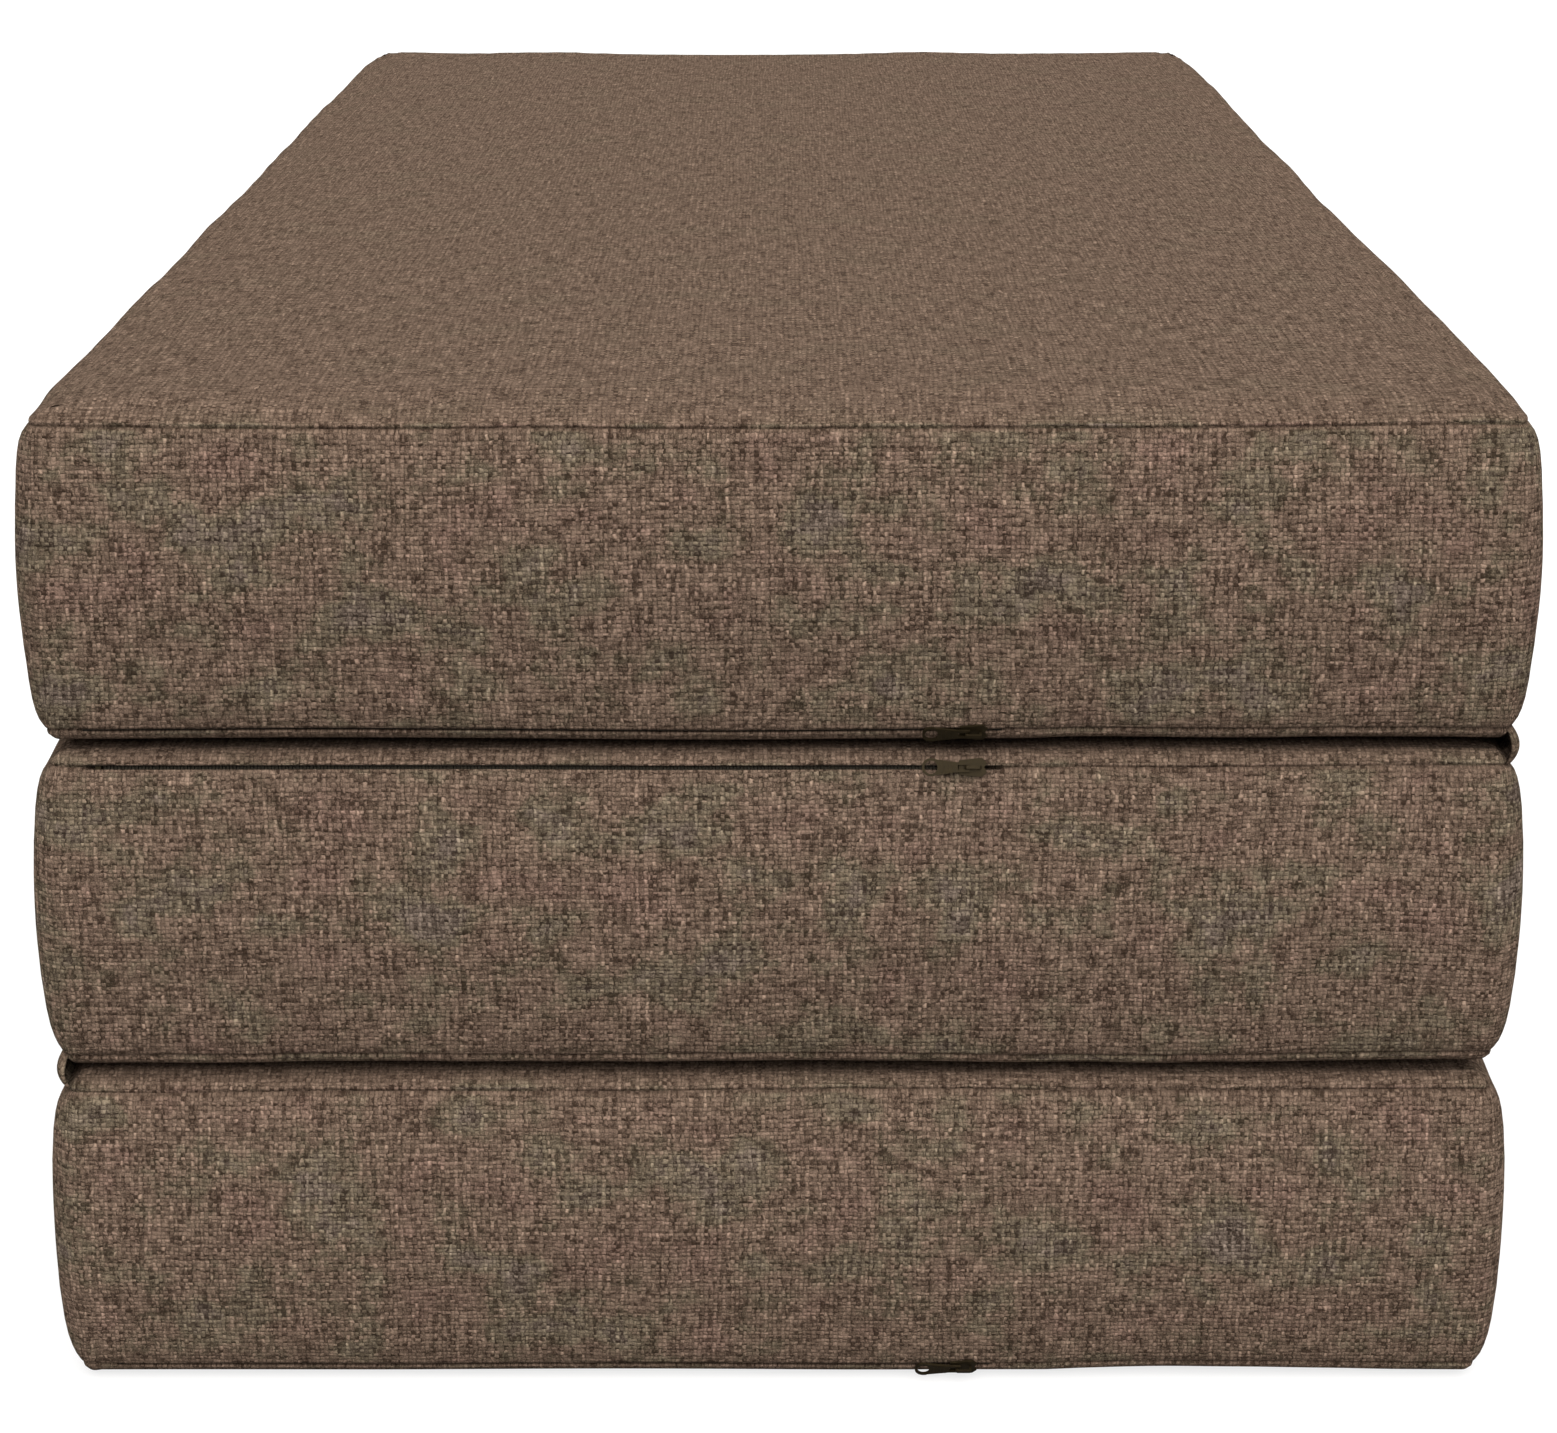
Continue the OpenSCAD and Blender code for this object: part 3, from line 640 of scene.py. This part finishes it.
class Shade:
    # a socket that adds its nodes when it is used in an expression
    def __init__(self, tree, socket=None):
        self.tree = tree
        self.socket = socket

    def add(self, kind, settings=None, inputs=None, output=0):
        node = self.tree.nodes.new("ShaderNode" + kind)
        for name, value in (settings or {}).items():
            if name == "stops":
                ramp = node.color_ramp
                while len(ramp.elements) < len(value):
                    ramp.elements.new(0.5)
                for element, (position, colour) in zip(ramp.elements, value):
                    element.position, element.color = position, (*colour, 1)
            else:
                setattr(node, name, value)
        for name, value in (inputs or {}).items():
            if isinstance(value, Shade):
                self.tree.links.new(value.socket, node.inputs[name])
            else:
                node.inputs[name].default_value = value
        return Shade(self.tree, node.outputs[output])

    def maths(self, operation, *values):
        return self.add("Math", {"operation": operation}, dict(enumerate(values)))

    def __add__(self, other):
        return self.maths("ADD", self, other)

    def __sub__(self, other):
        return self.maths("SUBTRACT", self, other)

    def __rsub__(self, other):
        return self.maths("SUBTRACT", other, self)

    def __mul__(self, other):
        return self.maths("MULTIPLY", self, other)

    __radd__, __rmul__ = __add__, __mul__

    def __truediv__(self, other):
        return self.maths("DIVIDE", self, other)

    def __rtruediv__(self, other):
        return self.maths("DIVIDE", other, self)

    def floor(self):
        return self.maths("FLOOR", self)

    def fraction(self):
        return self.maths("FRACT", self)

    def absolute(self):
        return self.maths("ABSOLUTE", self)

    def power(self, exponent):
        return self.maths("POWER", self, exponent)

    def larger(self, other):
        return self.maths("MAXIMUM", self, other)

    def clamped(self):
        return self.add("Clamp", {}, {0: self})

    def part(self, axis, kind="XYZ"):
        # one coordinate of a vector, or with Color one channel of a colour
        return self.add("Separate" + kind, {}, {0: self}, axis)

    def noise(self, scale, detail=2.0, roughness=0.5, output="Fac"):
        values = {"Vector": self, "Scale": scale, "Detail": detail, "Roughness": roughness}
        return self.add("TexNoise", {}, values, output)

    def random(self, other, seed):
        # a value between 0 and 1 that is the same for the same numbers
        spot = self.add("CombineXYZ", {}, {0: self, 1: other, 2: seed})
        return self.add("TexWhiteNoise", {"noise_dimensions": "3D"}, {"Vector": spot}, "Value")

    def blend(self, first, second):
        # mixes two colours, with this value as the share of the second
        first = first if isinstance(first, Shade) else (*first, 1)
        second = second if isinstance(second, Shade) else (*second, 1)
        return self.add("Mix", {"data_type": "RGBA"}, {0: self, 6: first, 7: second}, 2)


def newMaterial(name, finish):
    # a material with its shader's even values set, and a start for expressions
    material = bpy.data.materials.new(name)
    material.use_nodes = True
    shader = material.node_tree.nodes["Principled BSDF"]
    for socket, value in finish.items():
        shader.inputs[socket].default_value = value
    return material, shader, Shade(material.node_tree)


def feed(shader, links):
    for socket, value in links.items():
        value.tree.links.new(value.socket, shader.inputs[socket])


def bumpFrom(height, s):
    strength, distance = s["bump"]
    return height.add("Bump", {}, {"Strength": strength, "Distance": distance, "Height": height})


# the cover: a coarse heathered weave of brown and grey yarn
weaveSettings = {
    "finish": {"Roughness": 0.95, "Specular IOR Level": 0.0,
               "Sheen Weight": 0.02, "Sheen Roughness": 0.5, "Sheen Tint": (1.0, 0.86, 0.74, 1)},
    "pitch": 0.00195,           # metres from one thread to the next
    "bump": (0.85, 0.00045),    # strength, metres
    "wander": 1.5,              # how far threads stray, in pitches
    "bend": 3.0,                # and how far rows of them drift
    "roundness": 2.2,           # of a thread's back
    "loose": (1.1, 0.45),       # how much threads differ in height, and the least height
    "fuzzRelief": 0.4,
    "noises": {                 # waves to a metre, detail, roughness
        "stray": (170.0, 3.0, 0.7),
        "bend": (9.0, 2.0, 0.5),
        "fuzz": (1900.0, 2.0, 0.7),
        "loose": (420.0, 2.0, 0.6),
        "cluster": (160.0, 2.0, 0.6),
    },
    "streaks": {                # steps to a thread across and along, seed, detail, roughness
        "warp": (0.95, 0.11, 3.0, 1.0, 0.5),
        "weft": (0.16, 0.95, 8.0, 1.0, 0.5),
        "slub": (0.9, 0.28, 13.0, 1.0, 0.5),
        "speck": (0.7, 0.7, 21.0, 1.0, 0.5),
        "hue": (0.045, 0.055, 5.0, 3.0, 0.6),
    },
    "slubs": (5, 2.9),          # thick pale yarn, where the first times its streaks passes the second
    "slubUnder": 0.35,          # share of it that still shows below a crossing thread
    "specks": (6, 3.45),        # dark yarn, in the same way
    "fleckSeed": 7.0,
    "tones": {"yarn": 1.4, "fleck": 0.20, "fuzz": 1.2, "cluster": 0.3, "slub": 0.60, "speck": 0.24},
    "middleTone": 0.275,
    "dark": (0.046, 0.031, 0.023),
    "light": (0.450, 0.340, 0.268),
    "tints": [(0.33, (0.98, 1.01, 1.03)), (0.42, (0.96, 1.03, 0.91)), (0.50, (1.05, 0.99, 0.93)),
              (0.57, (1.05, 0.98, 0.93)), (0.66, (1.09, 0.965, 0.95))],    # of soft patches, grey to rose
    "yarnHue": 0.2,             # how much the yarn's own tone moves its hue
    "faceSpread": 0.2,          # how softly the wide faces' look starts at their edges
    "faceCalm": 0.42,           # wide faces are more even than the sides, in tone
    "paintedFaceShade": 0.085,          # painted shade: and this much darker, to offset the steep key lamp lighting the upper ones more
    "hueCalm": 0.92,            # and more even in hue
    "gap": (0.010, 0.007, 0.005),         # colour of the painted shade between the threads
    "threadShadeShare": (0.46, 0.05),   # how much of that painted shade shows where threads are low, less the second
}


def makeCoverCloth():
    s = weaveSettings
    noises, tones = s["noises"], s["tones"]
    material, shader, start = newMaterial("heatheredWeave", s["finish"])
    cloth = start.add("UVMap", {"uv_map": "weave"})
    stray = cloth.noise(*noises["stray"], "Color")
    bend = cloth.noise(*noises["bend"], "Color")
    across, along = [
        cloth.part(axis) / s["pitch"]
        + stray.part(axis, "Color") * s["wander"]
        + bend.part(axis, "Color") * s["bend"]
        for axis in (0, 1)
    ]
    column, row = across.floor(), along.floor()

    def rounded(coordinate):
        # the round back of a thread, 1 along its middle and 0 at its edges
        fromMiddle = (coordinate.fraction() * 2 - 1).absolute()
        return 1 - fromMiddle.power(s["roundness"])

    def streaks(name):
        # tones that run along a thread for several crossings
        u, v, seed, detail, roughness = s["streaks"][name]
        spot = start.add("CombineXYZ", {}, {0: across * u, 1: along * v, 2: seed})
        return spot.noise(1.0, detail, roughness)

    # which thread is on top, and how high it stands
    warp, weft = rounded(across), rounded(along)
    crossing = column + row
    over = crossing.maths("PINGPONG", crossing, 1.0)
    fuzz = cloth.noise(*noises["fuzz"])
    differ, least = s["loose"]
    height = over * (warp * (0.5 + 0.5 * weft)) + (1 - over) * (weft * (0.5 + 0.5 * warp))
    height = height * (cloth.noise(*noises["loose"]) * differ + least)

    # tone: the yarn's own, thick pale slubs, dark specks, single flecks, fuzz and loose clusters, and
    # painted shade on the wide faces
    yarn = over * streaks("warp") + (1 - over) * streaks("weft")
    slub = (streaks("slub") * s["slubs"][0] - s["slubs"][1]).clamped()
    slub = slub * (s["slubUnder"] + (1 - s["slubUnder"]) * over)
    speck = (streaks("speck") * s["specks"][0] - s["specks"][1]).clamped()
    fleck = column.random(row, s["fleckSeed"])
    cluster = cloth.noise(*noises["cluster"])
    facing = start.add("TexCoord", {}, {}, "Normal").part(2).absolute()
    flat = facing.maths("SMOOTH_MIN", facing, 1.0, s["faceSpread"])
    strength = 1 - flat * s["faceCalm"]
    tone = (yarn - 0.5) * tones["yarn"] + (fleck - 0.5) * tones["fleck"]
    tone = tone + (fuzz - 0.5) * tones["fuzz"] + (cluster - 0.5) * tones["cluster"]
    tone = (tone + slub * tones["slub"] - speck * tones["speck"]) * strength
    # painted shade: the wide faces are made darker than the sides here, to offset the key lamp lighting
    # the upper ones more
    tone = (tone + s["middleTone"] - flat * s["paintedFaceShade"]).clamped()
    colour = tone.blend(s["dark"], s["light"])

    # hues drift in soft patches that follow the threads; a ramp's colours end at 1, so the
    # tints are halved in it and doubled behind it
    hue = streaks("hue") + (yarn - 0.5) * s["yarnHue"] - 0.5
    hue = hue * (1 - flat * s["hueCalm"]) + 0.5
    stops = [(position, tuple(v / 2 for v in tint)) for position, tint in s["tints"]]
    tint = start.add("ValToRGB", {"stops": stops}, {0: hue})
    tint = start.add("VectorMath", {"operation": "SCALE"}, {0: tint, "Scale": 2.0})
    colour = start.add("VectorMath", {"operation": "MULTIPLY"}, {0: colour, 1: tint})
    # painted shade: darkens the colour where threads are low, as their shadow in the gaps between them
    threadShade = ((1 - height) * s["threadShadeShare"][0] - s["threadShadeShare"][1]).clamped()
    colour = threadShade.blend(colour, s["gap"])

    feed(shader, {"Base Color": colour, "Normal": bumpFrom(height + fuzz * s["fuzzRelief"], s)})
    return material


coverCloth = makeCoverCloth()
for piece in list(cushions.values()) + hingeCloths:
    piece.data.materials.append(coverCloth)

# the zips: dark woven tape, dark plastic teeth, aged metal stops, slider and pull;
# colours are the darkest, and how many times lighter they get
zipSettings = {
    "tape": {
        "finish": {"Roughness": 0.85, "Sheen Weight": 0.1},
        "colour": (0.022, 0.017, 0.011),
        "lighter": 2.2,
        "rib": 0.0007,          # width of the weave's ribs
        "pick": 0.0005,         # height of its rows
        "grain": (900.0, 2.0),
        "shares": (0.3, 0.3, 0.4),        # of ribs, rows and grain in the colour
        "bump": (0.5, 0.0002),  # strength, metres
    },
    "teeth": {
        "finish": {"Specular IOR Level": 0.2},
        "colour": (0.020, 0.016, 0.010),
        "lighter": 2.4,
        "grain": (700.0, 3.0),
        "roughness": (0.3, 0.5),          # share of the grain, least
        "bump": (0.25, 0.0001),
    },
    "metal": {
        "finish": {"Metallic": 0.5, "Specular IOR Level": 0.1},
        "colour": (0.0099, 0.00715, 0.0033),
        "lighter": 3.4545,
        "tarnish": (420.0, 4.0, 0.65),
        "scratches": (2600.0, 2.0, 0.7),
        "scratchShare": 0.5,
        "roughness": (0.3, 0.15, 0.2),    # shares of tarnish and scratches, least
        "bump": (0.3, 0.00008),
    },
}


def darkToLight(share, s):
    return share.blend(s["colour"], tuple(s["lighter"] * v for v in s["colour"]))


def makeZipTape():
    s = zipSettings["tape"]
    material, shader, start = newMaterial("zipTape", s["finish"])
    spot = start.add("TexCoord", {}, {}, "Object")
    ribs = (spot.part(0) / s["rib"]).fraction()
    picks = (spot.part(2) / s["pick"]).fraction()
    ribShare, pickShare, grainShare = s["shares"]
    tone = ribs * ribShare + picks * pickShare + spot.noise(*s["grain"]) * grainShare
    feed(shader, {"Base Color": darkToLight(tone, s), "Normal": bumpFrom(ribs + picks, s)})
    return material


def makeZipTeeth():
    s = zipSettings["teeth"]
    material, shader, start = newMaterial("zipTeeth", s["finish"])
    grain = start.add("TexCoord", {}, {}, "Object").noise(*s["grain"])
    share, least = s["roughness"]
    feed(shader, {
        "Base Color": darkToLight(grain, s),
        "Normal": bumpFrom(grain, s),
        "Roughness": grain * share + least,
    })
    return material


def makeZipMetal():
    s = zipSettings["metal"]
    material, shader, start = newMaterial("agedMetal", s["finish"])
    spot = start.add("TexCoord", {}, {}, "Object")
    tarnish, scratches = spot.noise(*s["tarnish"]), spot.noise(*s["scratches"])
    tarnishShare, scratchShare, least = s["roughness"]
    feed(shader, {
        "Base Color": darkToLight(tarnish, s),
        "Normal": bumpFrom(tarnish + scratches * s["scratchShare"], s),
        "Roughness": tarnish * tarnishShare + scratches * scratchShare + least,
    })
    return material


zipMaterials = {"_zip_tapes": makeZipTape(), "_zip_teeth": makeZipTeeth(), "_zip_stops": makeZipMetal()}
zipMaterials["_zip_slider"] = zipMaterials["_zip_pull"] = zipMaterials["_zip_stops"]
for name in blockSettings:
    for part, material in zipMaterials.items():
        for slot in nodes[name + part].material_slots:
            slot.material = material
print("materials made")


# studio: pale floor, white background, soft lamps
studioSettings = {
    "floor": {"Base Color": (0.24, 0.24, 0.24, 1), "Roughness": 0.9},
    "floorReach": 14.0,
    "floorLift": 0.76,          # what the camera adds on the floor, so that it reads white
    "worldStrength": 0.31,
    "lamps": {                  # soft and far: where from in degrees, strength, spread in degrees
        "key": {"turn": 6, "rise": 60, "strength": 4.75, "spread": 80, "colour": (1.0, 0.97, 0.94)},
        "fill": {"turn": 165, "rise": 25, "strength": 0.75, "spread": 60, "colour": (0.97, 0.985, 1.0)},
    },
    "lampsAway": 4.0,
    "camera": {
        "at": (0.0, -1.863, 0.761),
        "pitch": 13.95,         # degrees down from level
        "lens": 72.7,
        "sensor": 36,
        "shift": -0.19,
        "sees": (0.01, 60),     # nearest and farthest
    },
}
white = (1, 1, 1, 1)


def addObject(name, data):
    thing = bpy.data.objects.new(name, data)
    bpy.context.scene.collection.objects.link(thing)
    return thing


def layFloor():
    s = studioSettings
    reach = s["floorReach"]
    mesh = bpy.data.meshes.new("floor")
    corners = [(-reach, -reach, 0), (reach, -reach, 0), (reach, reach, 0), (-reach, reach, 0)]
    mesh.from_pydata(corners, [], [(0, 1, 2, 3)])
    floor = addObject("floor", mesh)
    material, shader, start = newMaterial("paleFloor", s["floor"])
    plain = Shade(start.tree, shader.outputs[0])
    seen = start.add("LightPath", {}, {}, "Is Camera Ray")
    lift = start.add("Emission", {}, {"Color": white, "Strength": s["floorLift"]})
    lifted = start.add("AddShader", {}, {0: plain, 1: lift})
    shown = start.add("MixShader", {}, {0: seen, 1: plain, 2: lifted})
    start.tree.links.new(shown.socket, start.tree.nodes["Material Output"].inputs["Surface"])
    mesh.materials.append(material)


def hangBackground():
    # white where it is seen, straight, mirrored or through something, and dimmer as a light
    world = bpy.data.worlds.new("studio")
    world.use_nodes = True
    tree = world.node_tree
    start = Shade(tree)
    rays = ("Is Camera Ray", "Is Glossy Ray", "Is Transmission Ray")
    seen, glossy, through = [start.add("LightPath", {}, {}, ray) for ray in rays]
    share = seen.larger(glossy).larger(through)
    dim = studioSettings["worldStrength"]
    strength = share * (1 - dim) + dim
    tree.links.new(strength.socket, tree.nodes["Background"].inputs["Strength"])
    tree.nodes["Background"].inputs["Color"].default_value = white
    bpy.context.scene.world = world


def hangLamps():
    for name, lamp in studioSettings["lamps"].items():
        light = bpy.data.lights.new(name, "SUN")
        light.energy = lamp["strength"]
        light.angle = math.radians(lamp["spread"])
        light.color = lamp["colour"]
        turn, rise = math.radians(lamp["turn"]), math.radians(lamp["rise"])
        level = math.cos(rise)
        towards = Vector((math.sin(turn) * level, -math.cos(turn) * level, math.sin(rise)))
        holder = addObject(name, light)
        holder.location = towards * studioSettings["lampsAway"]
        holder.rotation_euler = towards.to_track_quat("Z", "Y").to_euler()


def placeCamera():
    view = studioSettings["camera"]
    camera = bpy.data.cameras.new("camera")
    camera.lens = view["lens"]
    camera.sensor_width = view["sensor"]
    camera.shift_y = view["shift"]
    camera.clip_start, camera.clip_end = view["sees"]
    holder = addObject("camera", camera)
    holder.location = view["at"]
    holder.rotation_euler = (math.radians(90 - view["pitch"]), 0, 0)
    bpy.context.scene.camera = holder


layFloor()
hangBackground()
hangLamps()
placeCamera()
bpy.context.scene.view_settings.view_transform = "Standard"
print("studio built")
